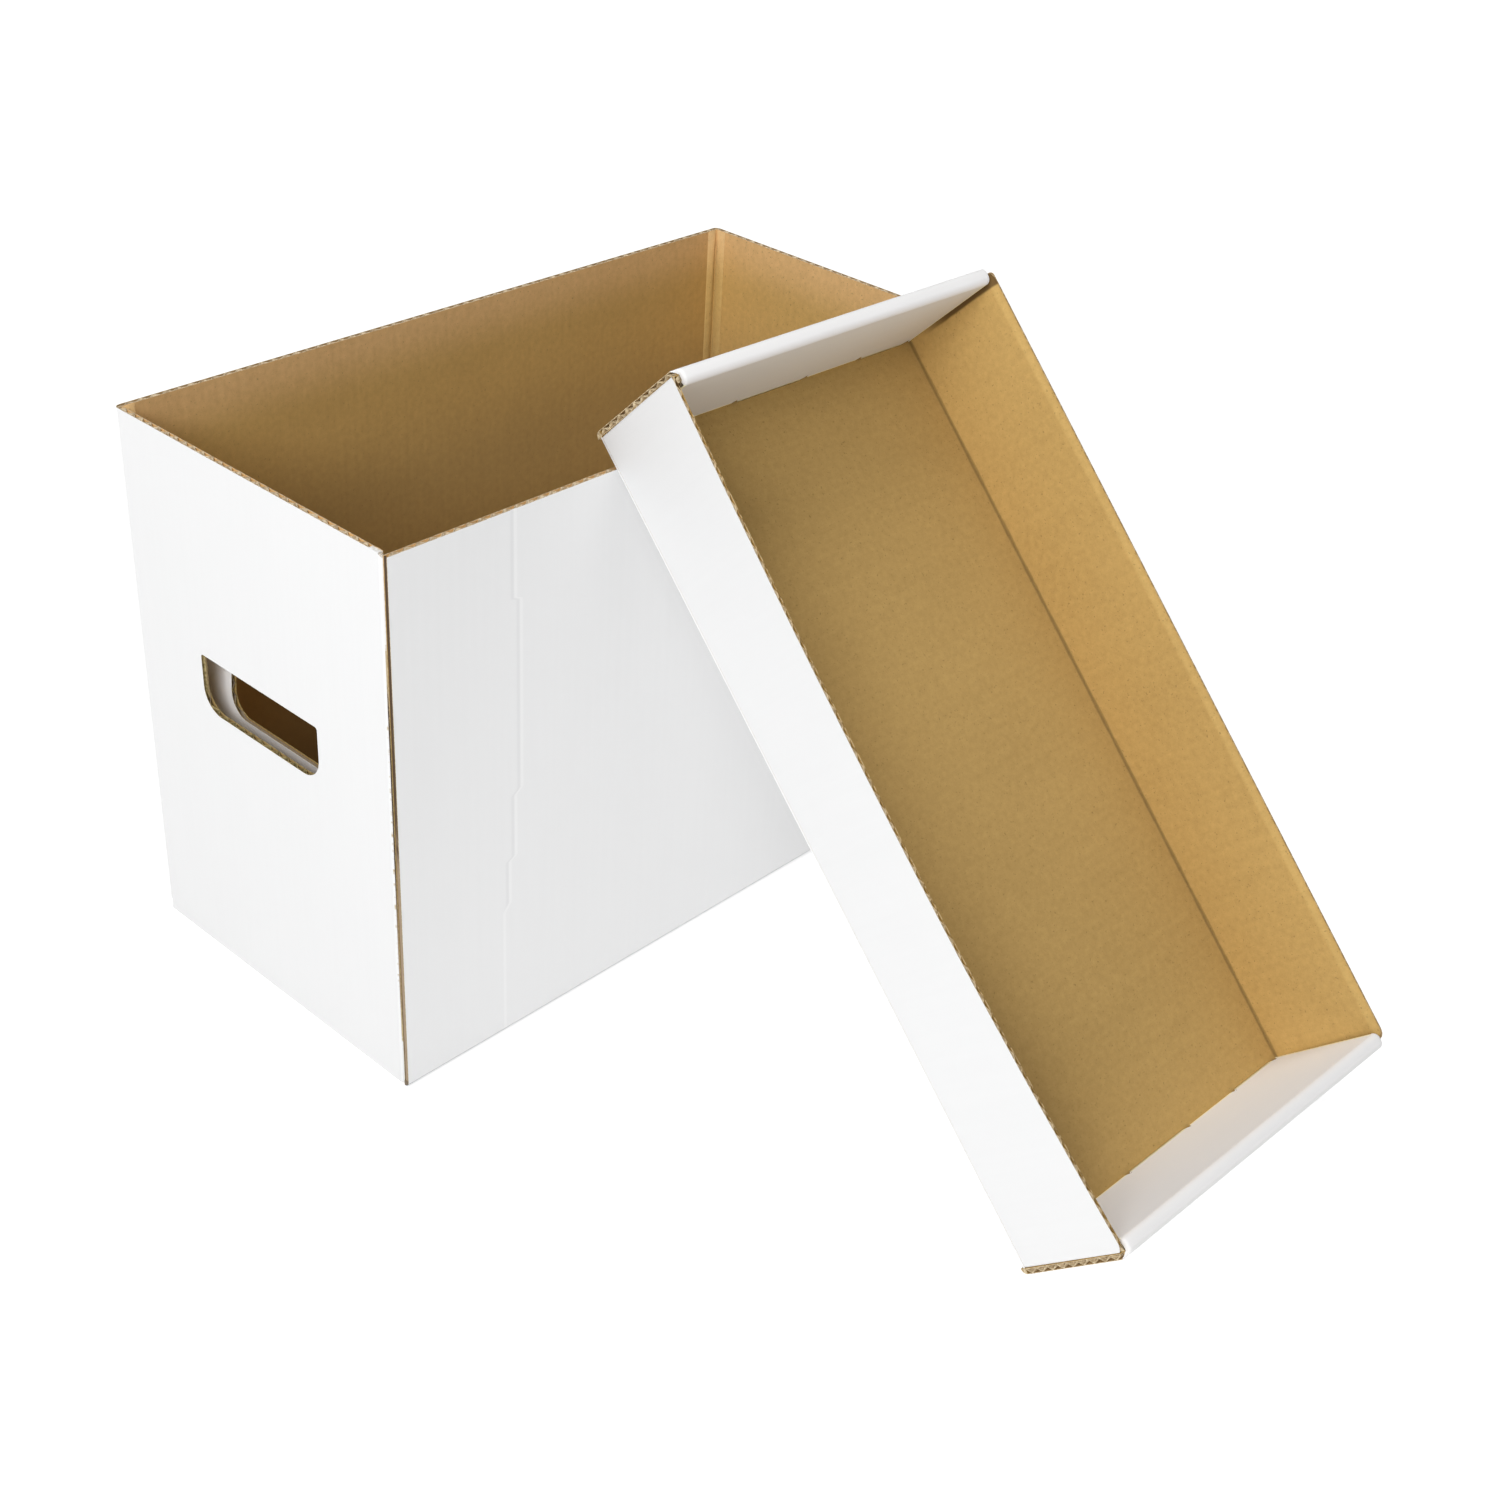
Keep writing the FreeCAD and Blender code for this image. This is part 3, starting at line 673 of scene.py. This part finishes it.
torn_line, torn_thickness = 0.0007 - half_length, 0.0007
medium_edge = bent_sheet("front_wall_torn_medium",
                         [(torn_line, liner - half_width), (torn_line, -wall_inner_y - liner)],
                         torn_thickness, straight(fold_radius, wall_height - 0.0004), torn_medium())
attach(medium_edge, "box")


# The two bottoms and the tuck tabs. The outer bottom folds back from the front wall, the inner
# one forward from the back wall over it, and two tabs of the outer one stand up through slots.
dress(white_liner("bottom white", Y, X, (X, -X, Y, -Y), -Z), "outer_bottom_face", "inner_bottom_face")
dress(kraft_liner("bottom kraft", Y, X, (X, -X, Y, -Y)), "outer_bottom_board", "inner_bottom_board")
tuck_tab_line = 0.0921
dress(kraft_liner("tuck tab kraft", X, Z, (X, -X, Z), edge=fluted_edge(X, Y, tuck_tab_line)),
      "bottom_tuck_tabs")


# Inner end panels. They fold up from the ends of the inner bottom with their white side outwards,
# double the end walls behind the hand holes and lean in a little. Their flutes lie level.
inner_kraft = kraft_liner("inner end kraft", Z, Y, (Y, -Y, Z), edge=Paper.wall_edge)
inner_medium = medium_paper("inner end medium", (Y, -Y), edge=Paper.wall_edge)
# The inner ends' white is a lighter copy: painted light, for the light that comes in through the hand holes
for side, outwards in (("left", -X), ("right", X)):
    dress(white_liner(side + " inner end white", Z, Y, (Y, -Y, Z, -Z), outwards, (1.09, 1.09, 1.10),
                      edge=Paper.wall_edge), "inner_end_" + side + "_face")
    dress(inner_kraft, "inner_end_" + side + "_lining")
    dress(inner_medium, "inner_end_" + side + "_fluting")


# Top panel of the lid, seen from its kraft side because the lid leans with its rim forward. The
# locking tabs of both ends press through its slots.
lid_width, lid_length, lid_depth = 0.200, 0.405, 0.0653
lid_overhang, lid_turn, lid_left_at, lean_clearance = 0.0182, math.radians(-1.77), -0.0778, 0.0004
lid_reach = lid_length - lid_overhang - fold_radius
lid_slope = (math.atan2(fold_radius, lid_reach)
             + math.asin((wall_height - fold_radius) / math.hypot(lid_reach, fold_radius)))
lid_lift = fold_radius * (1 - math.sin(lid_slope) - math.cos(lid_slope))
lid_run = (wall_height - lid_lift) / math.tan(lid_slope) * math.cos(lid_turn)
lid_foot = (-half_width - lean_clearance / math.sin(lid_slope) - lid_run
            - fold_radius * math.sin(lid_turn))
lid_corner = Vector((lid_left_at, lid_foot, lid_lift))
lid_place = (Matrix.Translation(lid_corner) @ Matrix.Rotation(lid_turn, 4, "Z")
             @ Matrix.Rotation(lid_slope, 4, "X"))
lid_across, lid_up, lid_out = (lid_place.to_3x3() @ axis for axis in (X, Y, Z))
from_left, from_foot, from_top = (lid_corner.dot(axis) for axis in (lid_across, lid_up, lid_out))


def end_folds(paper):
    """1 only in the folds at the two ends of the lid, whose sides are cut edges."""
    up = paper.place.along(lid_up) - from_foot
    low, high = fold_radius - 0.0001, fold_radius + 0.0001
    return 1 - up.between(low, high) * (1 - up.between(lid_length - high, lid_length - low))


def side_creases_and_shade(paper):
    """Dark pressed line along each long side, partly painted shade; painted shade in the gap behind the end
    and in the dim lower left corner.
    """
    in_left = paper.place.along(lid_across) - (from_left + board)
    in_right = (from_left + lid_width - board) - paper.place.along(lid_across)
    height = paper.place.along(lid_out) - (from_top + board)
    uneven = paper.place.grain(90.0, 2.0) * 0.0012
    near_side = 1 - (in_left.maths("MINIMUM", in_right).maths("ABSOLUTE") - uneven).between(0.0, 0.0012)
    pressed = near_side * (1 - (height - uneven).between(0.0, 0.0010)) * 0.5
    up = paper.place.along(lid_up) - from_foot
    behind_end = (up + uneven).between(lid_length - 0.0096, lid_length - 0.0084)
    dim_corner = (1 - in_left.between(0.015, 0.085)) * (1 - up.between(0.03, 0.20)) * 0.3
    # Painted shade in the gap behind the end and in the dim corner, added to the pressed line
    pressed = pressed.maths("MAXIMUM", behind_end * height.between(0.006, 0.030))
    return pressed.maths("MAXIMUM", dim_corner)


dress(white_liner("lid top white", lid_up, lid_across, (lid_across, -lid_across), -lid_out,
                  only=end_folds), "lid_top_face")
# The lid top's kraft is a darker copy, painted shade, and it carries the painted shade lines along the
# sides
dress(kraft_liner("lid top kraft", lid_up, lid_across, (lid_across, -lid_across), shade=0.78,
                  only=end_folds, crease=side_creases_and_shade), "lid_top_board")


# Long sides of the lid. Each folds up from the top panel and ends in two corner flaps; the right
# one stands a little outwards. The fluted rim is bare board.
side_splay = math.radians(2.1)
side_rim = lid_depth - 0.0004
side_foot = fold_radius + fold_radius * math.sin(side_splay)
side_medium = medium_paper("lid side medium", (lid_out,))
splay = (Matrix.Translation(Vector((lid_width - fold_radius, 0, fold_radius)))
         @ Matrix.Rotation(side_splay, 4, "Y")
         @ Matrix.Translation(Vector((fold_radius - lid_width, 0, -fold_radius))))
side_start = board + 0.0006
lower_corner, upper_corner = 0.0055, 0.0030
round_steps = (0.0, 0.0003, 0.0008, 0.0015, 0.0022, 0.0030, 0.0042, 0.0055, 0.0120)


def rim_levels(length, whole):
    """Foot and top of a side, its top corners rounded over where the roll meets them."""
    top = side_rim
    for radius, reach in ((lower_corner, length), (upper_corner, whole - length)):
        short = max(0.0, radius - max(0.0, reach))
        top -= radius - math.sqrt(radius ** 2 - short ** 2)
    return side_foot, top


def mark_bends(mesh):
    """Smooth shading, with sharp edges kept at the corners of the paper."""
    shape = bmesh.new()
    shape.from_mesh(mesh)
    for face in shape.faces:
        face.smooth = True
    for edge in shape.edges:
        if len(edge.link_faces) == 2 and edge.calc_face_angle() > 0.7:
            edge.smooth = False
    shape.to_mesh(mesh)
    shape.free()


def crushed_lining(name, line, inwards, crush, steps, material, place):
    """Lining of a side, whose rim the die has pressed towards the face."""
    crush_depth = 0.0042
    depths = (crush_depth, 0.0034, 0.0026, 0.0019, 0.0012, 0.0006, 0.0)
    points = []
    for y in steps:
        foot, top = rim_levels(y - steps[0], steps[-1] - steps[0])
        for z in [foot] + [top - depth for depth in depths]:
            part = max(0.0, 1 - (top - z) / crush_depth)
            shift = crush * part * part * (3 - 2 * part)
            points += [(line - inwards * (shift + offset), y, z) for offset in (-liner / 2, liner / 2)]
    obj = solid(name, points, sheet_faces(len(steps), len(depths) + 1), material, place)
    mark_bends(obj.data)
    return obj


def side_edge(paper):
    """Torn fibre of the rim: nearly as yellow as the lining, with dark gaps."""
    fibre = paper.place.grain(420.0, 3.0).between(0.42, 0.58)
    return fibre.blend((0.17, 0.105, 0.05, 1), (0.62, 0.47, 0.27, 1))


def bow_outwards(obj):
    """Leans the left side out between the ends that hold it, most in the middle of its rim."""
    obj.data.transform(lid_place.inverted())
    widest, middle, at_upper_end = 0.0074, 0.185, 0.0024
    for point in obj.data.vertices:
        y = min(max(point.co.y, 0.0), lid_length)
        if y < middle:
            lean = widest * math.sin(math.pi / 2 * y / middle) ** 0.9
        else:
            part = math.cos(math.pi / 2 * (y - middle) / (lid_length - middle)) ** 0.8
            lean = at_upper_end + (widest - at_upper_end) * part
        point.co.x -= lean * max(0.0, point.co.z - side_foot) / (side_rim - side_foot)
    obj.data.transform(lid_place)


def side_stations():
    """Lengths along a side where its sheets have points, close together at its rounded corners."""
    first, last = side_start, lid_length - side_start
    rounded = [first + reach for reach in round_steps] + [last - reach for reach in round_steps]
    return sorted(rounded + [first + (last - first) * k / 40 for k in range(2, 39)])


def side_face_path(line, inwards):
    """Plan of a side's face, which turns in tightly at both ends."""
    tight, past_end = 0.0012, 0.0004
    stations = side_stations()
    turn = [(line + inwards * (tight - y), x) for x, y in arc((tight, 0), tight, 180, 90, 4)]
    first = [(x, stations[0] - past_end + y) for x, y in turn]
    last = [(x, stations[-1] + past_end - y) for x, y in turn[::-1]]
    return first + [(line, y) for y in stations if first[-1][1] < y < last[0][1]] + last


# The sides' kraft carries the same painted shade: the line at the fold, the gap behind the ends and the dim
# lower left corner
side_kraft = kraft_liner("lid side kraft", lid_up, lid_out, (lid_out,), edge=side_edge, crease=side_creases_and_shade)
for side, place, outside, inwards, white_tone, crush, medium_top, medium_depth, medium_centre in (
        ("left", lid_place, 0.0, 1, 0.90, 0.0009, 0.0003, 0.0010, 0.0009),
        ("right", lid_place @ splay, lid_width, -1, 1, 0.0018, 0.0040, flute_depth, medium_line)):
    name = "lid_" + side + "_side_"
    white = white_liner("lid " + side + " side white", lid_up, lid_out, (lid_out,), -lid_across * inwards,
                        white_tone)
    face = bent_sheet(name + "white", side_face_path(outside + inwards * liner / 2, inwards), liner,
                      rim_levels, white, place)
    mark_bends(face.data)
    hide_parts(name + "face")
    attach(face, "lid")
    lining = crushed_lining(name + "kraft", outside + inwards * (board - liner / 2), inwards, crush,
                            side_stations(), side_kraft, place)
    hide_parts(name + "lining")
    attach(lining, "lid")
    line = outside + inwards * medium_centre
    medium = fluting(name + "fluting", "lid", [(line, side_start), (line, lid_length - side_start)],
                     (side_foot, side_rim - medium_top), side_medium, 5, place, depth=medium_depth)
    if side == "left":
        for sheet in (face, lining, medium):
            bow_outwards(sheet)


# Ends of the lid. The outer panel folds up from the top panel, the board rolls over at the rim
# and comes back down as the inner panel, with its locking tabs in the top panel's slots.
flip = (Matrix.Translation(Vector((lid_width, lid_length, 0))) @ Matrix.Rotation(math.pi, 4, "Z"))
end_kraft = kraft_liner("lid end kraft", lid_out, lid_across, (lid_across, -lid_across, -lid_out))
end_medium = medium_paper("lid end medium", (lid_across, -lid_across))
# Local axes of the medium's path: X up the panel, Y outwards, Z back along the lid's width
stand_up = Matrix(((0, 0, -1, 0), (0, -1, 0, 0), (1, 0, 0, 0), (0, 0, 0, 1)))
thick_medium = 0.00042


def pale_cut(paper, colour):
    """Pale yellow line of bare fibre along the panel's foot and its sides."""
    off_middle = (paper.place.along(lid_across) - (from_left + lid_width / 2)).maths("ABSOLUTE")
    foot = 1 - (paper.place.along(lid_out) - (from_top + board)).between(0.0009, 0.0013)
    return off_middle.between(0.0955, 0.0959).maths("MAXIMUM", foot).blend(colour, (0.96, 0.91, 0.62, 1))


# The lower inner end's white is a lighter, bluer copy, painted light; the upper one a darker, warmer copy,
# painted shade with the kraft's warm bounce
for end, turn, facing, inner_light_and_shade in (("lower", Matrix(), -lid_up, (1.03, 1.055, 1.10)),
                                      ("upper", flip, lid_up, (0.86, 0.845, 0.80))):
    dress(white_liner("lid " + end + " end white", lid_out, lid_across, (lid_across, -lid_across), facing),
          "lid_" + end + "_end_outer_face")
    dress(white_liner("lid " + end + " inner end white", lid_out, lid_across,
                      (lid_across, -lid_across, -lid_out), -facing, inner_light_and_shade, marks_and_shading=pale_cut),
          "lid_" + end + "_end_inner_face")
    dress(end_kraft, "lid_" + end + "_end_outer_lining", "lid_" + end + "_end_inner_lining")
    dress(end_medium, "lid_" + end + "_end_inner_fluting")
    fluting("lid_" + end + "_end_outer_fluting", "lid",
            [(fold_radius, -medium_line), (lid_depth - fold_radius, -medium_line)],
            (-lid_width, 0), end_medium, 7, lid_place @ turn @ stand_up, ply=thick_medium)


# Rolled strips over the rims of the ends. Two creases close together let the board turn down
# again, which crushes its flutes and rounds the strip. Its ends are cut back between the sides.
end_stack = 0.0077


def rolled_strip(name, inner_radius, outer_radius, x_fit, gaps, round_end, material, turn):
    """Bent layer of the rolled strip, between two radii of its creases, with rounded ends."""
    bend_steps = 9
    flat_end = end_stack - fold_radius
    thinnest, pressed_down, dent_depth = 0.00025, 0.00012, 0.00012
    close = (0.0, 0.0002, 0.0005, 0.0009, 0.0014, 0.0020)
    shares = [k / 40 for k in range(1, 40)]
    rows = []
    for k in range(2 * bend_steps + 1):
        angle = math.pi * k / (2 * bend_steps)
        crease = fold_radius if angle <= math.pi / 2 else flat_end
        opening = min(1.0, max(0.0, (math.degrees(angle) + 8) / 50))
        rows.append((crease, angle, opening * opening * (3 - 2 * opening)))
        if k == bend_steps:
            rows.append((flat_end, angle, rows[-1][2]))
    points = []
    for crease, angle, opening in rows:
        start = gaps[0] * opening + x_fit
        stop = lid_width - gaps[1] * opening - x_fit
        middle = [start + close[-1] + (stop - start - 2 * close[-1]) * share for share in shares]
        line = [start + c for c in close] + middle + [stop - c for c in close[::-1]]
        for x in line:
            short = max(0.0, round_end - min(x - start, stop - x))
            sink = (round_end - math.sqrt(max(0.0, round_end ** 2 - short ** 2))) * opening
            dent = noise.noise(Vector((x * 45, angle * 1.2, len(name)))) * dent_depth * math.sin(angle)
            for radius in (outer_radius, inner_radius):
                reach = max(thinnest, radius + dent - sink)
                points.append((x, crease - reach * math.cos(angle),
                               lid_depth - fold_radius + reach * math.sin(angle) - pressed_down))
    obj = solid(name, points, sheet_faces(len(rows), len(line)), material, lid_place @ turn)
    mark_bends(obj.data)
    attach(obj, "lid")
    return obj


roll_white = white_liner("roll white", lid_out, lid_across, tone=(0.97, 0.96, 0.955))
roll_core = kraft_liner("roll core", lid_out, lid_across, (lid_across, -lid_across))
roll_inset = 0.0018
# Gaps to the lid's sides at the two ends of each strip, in the strip's own order
for end, turn, gaps in (("lower", Matrix(), (board + 0.0003, 0.0009)),
                        ("upper", flip, (0.0012, board + 0.0003))):
    skin = rolled_strip("lid_" + end + "_roll_face", fold_radius - liner, fold_radius, 0.0, gaps,
                        roll_inset, roll_white, turn)
    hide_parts("lid_" + end + "_end_roll")
    core = rolled_strip("lid_" + end + "_roll_core", fold_radius - board, fold_radius - liner - 0.00002,
                        roll_inset, gaps, 0.0, roll_core, turn)


# Corner flaps, which fold in from the long sides behind the outer end panels and are held by
# the roll.
dress(kraft_liner("flap kraft", lid_across, lid_out, (lid_out, -lid_out)),
      *("lid_flap_" + end + "_" + side for end in ("lower", "upper") for side in ("left", "right")))


# Pale floor that glows a little, as a studio's light table does, so the box casts little shade.
bpy.ops.mesh.primitive_plane_add(size=30, location=(0, 0, 0))
floor = bpy.context.object
floor.name = "floor"
floor_paint = bpy.data.materials.new("floor")
floor_paint.use_nodes = True
floor_shader = floor_paint.node_tree.nodes["Principled BSDF"]
floor_shader.inputs["Base Color"].default_value = (0.62, 0.62, 0.62, 1)
floor_shader.inputs["Roughness"].default_value = 0.95
floor_shader.inputs["Specular IOR Level"].default_value = 0.0
floor_spot = Fibre(floor_paint.node_tree).node("ShaderNodeTexCoord", out="Object")
far_off = floor_spot.node("ShaderNodeVectorMath", {"operation": "LENGTH"}, {0: floor_spot}, out="Value")
glow = far_off.between(0.7, 1.8).blend((0.69, 0.69, 0.69, 1), (1, 1, 1, 1))
floor_paint.node_tree.links.new(glow.socket, floor_shader.inputs["Emission Color"])
floor_shader.inputs["Emission Strength"].default_value = 0.85
floor.data.materials.append(floor_paint)


# Soft studio light: a dim even surround, a large softbox high on the left and in front, and a
# second one overhead.
studio = bpy.data.worlds.new("studio")
bpy.context.scene.world = studio
studio.use_nodes = True
studio.node_tree.nodes["Background"].inputs["Color"].default_value = (1, 1, 1, 1)
studio.node_tree.nodes["Background"].inputs["Strength"].default_value = 0.20
lamp_aim = Vector((0, -0.1, 0.12))
for name, lamp_place, size, energy in (
        ("left softbox", Vector((-2.26, -1.19, 1.93)), (1.8, 1.5), 62),
        ("overhead softbox", Vector((0.1, 0.35, 3.15)), (1.6, 1.6), 44)):
    softbox = bpy.data.lights.new(name, "AREA")
    softbox.shape = "RECTANGLE"
    softbox.size, softbox.size_y = size
    softbox.energy = energy
    lamp = bpy.data.objects.new(name, softbox)
    lamp.location = lamp_place
    lamp.rotation_euler = (lamp_aim - lamp_place).to_track_quat("-Z", "Y").to_euler()
    bpy.context.scene.collection.objects.link(lamp)
bpy.context.scene.view_settings.view_transform = "Standard"
